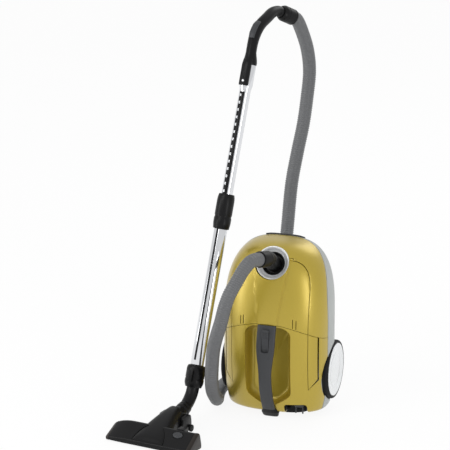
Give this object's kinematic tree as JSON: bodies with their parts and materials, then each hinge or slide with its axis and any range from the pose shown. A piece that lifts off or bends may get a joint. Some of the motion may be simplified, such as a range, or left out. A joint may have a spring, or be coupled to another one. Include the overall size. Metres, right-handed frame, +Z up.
{
  "type": "cylinder vacuum cleaner",
  "caption": "Cylinder vacuum cleaner parked upright on its rear end, with carry handle, wheels, ribbed hose, bent handle, telescopic chrome tube and wide floor nozzle.",
  "frame": {"origin": "on the floor, at the middle of the machine's standing face", "axes": "+Z up, -Y the side of the machine that carries the lid, +X to its right seen from that side"},
  "size_m": [0.5042, 0.8754, 1.0141],
  "materials": {
    "cover_gold": "gloss metallic yellow-gold moulding",
    "base_grey": "satin grey moulding",
    "trim_grey": "satin dark grey moulding",
    "black_plastic": "satin black moulding",
    "rubber": "matt black rubber",
    "silver_ring": "silver painted moulding",
    "wheel_face": "smooth white cap",
    "chrome": "polished chrome tube",
    "steel": "plain steel",
    "copper_winding": "enamelled winding",
    "hose_grey": "ribbed grey hose",
    "paper": "fleece dust bag",
    "foam": "filter foam",
    "cap_brown": "brownish black end cap"
  },
  "bodies": {
    "machine": {"hood": "cover_gold", "rear_cover": "cover_gold", "lid_pin_left": "steel", "lid_pin_right": "steel", "carry_handle": "trim_grey", "base_chassis": "base_grey", "exhaust_grille": "trim_grey", "parking_foot": "black_plastic", "exhaust_filter": "foam", "nose_bumper": "trim_grey", "inlet_ring": "silver_ring", "wheel_axle_left": "steel", "wheel_axle_right": "steel", "motor_case": "trim_grey", "motor_filter": "foam", "reel_axle": "steel", "cord_bay": "black_plastic", "bag_holder": "black_plastic", "dust_bag": "paper", "inner_tube": "chrome", "detent_rail": "black_plastic", "handle_grip": "black_plastic", "hose_elbow": "black_plastic", "hose": "hose_grey"},
    "lid": {"bag_lid": "cover_gold"},
    "latch": {"lid_latch": "trim_grey"},
    "switch_pedal": {"power_pedal": "cover_gold"},
    "cord_pedal": {"rewind_pedal": "cover_gold"},
    "left_wheel": {"wheel_hub_left": "trim_grey", "tyre_left": "rubber", "wheel_disc_left": "wheel_face"},
    "right_wheel": {"wheel_hub_right": "trim_grey", "tyre_right": "rubber", "wheel_disc_right": "wheel_face"},
    "castor": {"castor_fork": "black_plastic"},
    "castor_roller": {"castor_wheel": "trim_grey"},
    "hose_swivel": {"hose_collar": "black_plastic"},
    "rotor": {"motor_rotor": "copper_winding"},
    "reel": {"cord_reel": "trim_grey", "wound_cord": "rubber"},
    "plug": {"mains_plug": "trim_grey", "cord_lead": "rubber"},
    "slider": {"suction_slider": "trim_grey"},
    "handle_button": {"grip_lock_button": "silver_ring"},
    "cuff": {"hose_cuff": "black_plastic"},
    "lower_tube": {"outer_tube": "chrome", "guide_strip": "black_plastic", "sleeve_bush": "rubber", "end_collar": "black_plastic", "neck_tube": "black_plastic"},
    "sleeve": {"lock_sleeve": "black_plastic"},
    "yoke": {"neck_yoke": "black_plastic"},
    "nozzle": {"nozzle_base": "black_plastic", "nozzle_hump": "black_plastic", "nozzle_cap_left": "cap_brown", "nozzle_cap_right": "cap_brown"},
    "floor_pedal": {"nozzle_pedal": "trim_grey"},
    "brush": {"brush_frame": "rubber"},
    "nozzle_roller_left": {"nozzle_wheel_left": "rubber"},
    "nozzle_roller_right": {"nozzle_wheel_right": "rubber"}
  },
  "joints": [
    {"name": "lid_hinge", "type": "hinge", "parent": "machine", "child": "lid", "pos_m": [0, -0.0515, 0.432], "axis": [-1, 0, 0], "range_deg": [0, 36]},
    {"name": "latch_slide", "type": "slide", "parent": "machine", "child": "latch", "axis": [0, 0, -1], "range_m": [0, 0.005], "stiffness_N_per_m": 400, "springref_m": -0.002},
    {"name": "switch_pedal_press", "type": "slide", "parent": "machine", "child": "switch_pedal", "axis": [0, 1, 0], "range_m": [0, 0.004], "stiffness_N_per_m": 1500, "springref_m": -0.001},
    {"name": "cord_pedal_press", "type": "slide", "parent": "machine", "child": "cord_pedal", "axis": [0, 1, 0], "range_m": [0, 0.004], "stiffness_N_per_m": 1500, "springref_m": -0.001},
    {"name": "left_wheel_spin", "type": "hinge", "parent": "machine", "child": "left_wheel", "pos_m": [-0.133, 0.034, 0.111], "axis": [1, 0, 0], "continuous": true},
    {"name": "right_wheel_spin", "type": "hinge", "parent": "machine", "child": "right_wheel", "pos_m": [0.133, 0.034, 0.111], "axis": [1, 0, 0], "continuous": true},
    {"name": "castor_swivel", "type": "hinge", "parent": "machine", "child": "castor", "pos_m": [0, 0.078, 0.372], "axis": [0, 1, 0], "continuous": true},
    {"name": "castor_roll", "type": "hinge", "parent": "castor", "child": "castor_roller", "pos_m": [0, 0.097, 0.36], "axis": [1, 0, 0], "continuous": true},
    {"name": "hose_collar_turn", "type": "hinge", "parent": "machine", "child": "hose_swivel", "pos_m": [-0.004, -0.11, 0.447], "axis": [-0.2799, -0.9296, 0.2399], "continuous": true},
    {"name": "rotor_spin", "type": "hinge", "parent": "machine", "child": "rotor", "pos_m": [-0.052, 0.014, 0.115], "axis": [0, 0, 1], "continuous": true},
    {"name": "plug_pull", "type": "slide", "parent": "machine", "child": "plug", "axis": [0, 0, -1], "range_m": [0, 0.008]},
    {"name": "reel_turn", "type": "hinge", "parent": "machine", "child": "reel", "pos_m": [0.074, 0.005, 0.09], "axis": [1, 0, 0], "range_deg": [0, 8]},
    {"name": "slider_move", "type": "hinge", "parent": "machine", "child": "slider", "pos_m": [-0.0782, 0.26305, 0.87996], "axis": [-0.8981, 0.3713, -0.2356], "range_deg": [0, 5]},
    {"name": "handle_button_press", "type": "slide", "parent": "machine", "child": "handle_button", "axis": [0.1747, 0.9172, -0.3582], "range_m": [0, 0.0025], "stiffness_N_per_m": 600, "springref_m": -0.001},
    {"name": "cuff_turn", "type": "hinge", "parent": "machine", "child": "cuff", "pos_m": [-0.0956, 0.315, 0.993], "axis": [0.4662, 0.7604, -0.4522], "continuous": true},
    {"name": "telescope", "type": "slide", "parent": "machine", "child": "lower_tube", "axis": [0.067, 0.3519, 0.9337], "range_m": [0, 0.26]},
    {"name": "sleeve_press", "type": "slide", "parent": "lower_tube", "child": "sleeve", "axis": [-0.067, -0.3519, -0.9337], "range_m": [0, 0.005], "stiffness_N_per_m": 800, "springref_m": -0.002},
    {"name": "neck_swivel", "type": "hinge", "parent": "lower_tube", "child": "yoke", "pos_m": [-0.20605, -0.2461, 0.033], "axis": [0.1813, 0.9506, 0.2521], "range_deg": [-60, 60]},
    {"name": "nozzle_tilt", "type": "hinge", "parent": "yoke", "child": "nozzle", "pos_m": [-0.20605, -0.2461, 0.033], "axis": [0.9823, -0.1874, 0], "range_deg": [-33, 26]},
    {"name": "floor_pedal_rock", "type": "hinge", "parent": "nozzle", "child": "floor_pedal", "pos_m": [-0.15488, -0.3621, 0.04275], "axis": [0.9823, -0.1874, 0], "range_deg": [0, 8]},
    {"name": "brush_drop", "type": "slide", "parent": "nozzle", "child": "brush", "axis": [0, 0, -1], "range_m": [0, 0.0035]},
    {"name": "nozzle_roll_left", "type": "hinge", "parent": "nozzle", "child": "nozzle_roller_left", "pos_m": [-0.24291, -0.22584, 0.0095], "axis": [0.9823, -0.1874, 0], "continuous": true},
    {"name": "nozzle_roll_right", "type": "hinge", "parent": "nozzle", "child": "nozzle_roller_right", "pos_m": [-0.16432, -0.24083, 0.0095], "axis": [0.9823, -0.1874, 0], "continuous": true}
  ],
  "couplings": [
    {"joint": "reel_turn", "follows": "plug_pull", "rad_per_m": 16.6},
    {"joint": "floor_pedal_rock", "follows": "brush_drop", "rad_per_m": 39.8}
  ]
}
